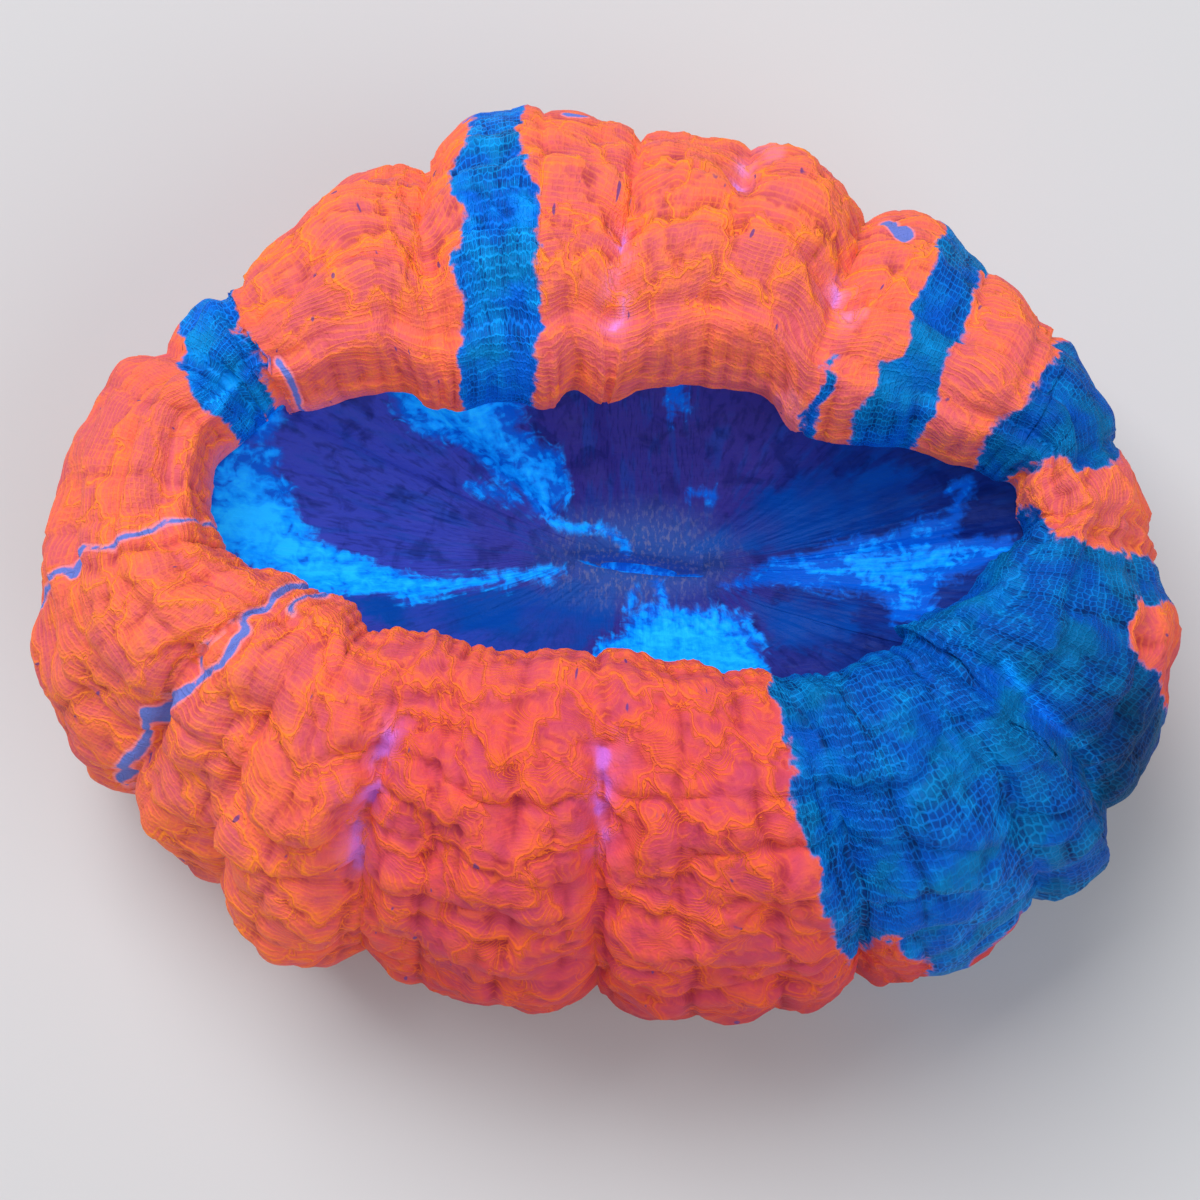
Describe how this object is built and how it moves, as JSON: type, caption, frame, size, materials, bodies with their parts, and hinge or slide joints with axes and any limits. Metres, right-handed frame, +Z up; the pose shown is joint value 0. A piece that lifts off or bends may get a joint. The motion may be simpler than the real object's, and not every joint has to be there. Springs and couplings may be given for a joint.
{
  "type": "acanthophyllia coral",
  "caption": "Large single meat-coral polyp: a puffed ring of fleshy lobes round a sunken oval oral disc with a slit mouth, on a short ribbed stony foot cut off flat.",
  "frame": {"origin": "middle of the coral's box at the flat surface its cut foot rests on", "axes": "+Z up out of the mouth, +X along the long axis of the oval disc and mouth, +Y towards the tallest lobes"},
  "size_m": [0.09, 0.074, 0.041],
  "materials": {
    "coral_flesh": "satin",
    "oral_disc": "satin",
    "corallum": "matte"
  },
  "bodies": {
    "root": {"coral_polyp": "coral_flesh"}
  },
  "joints": []
}
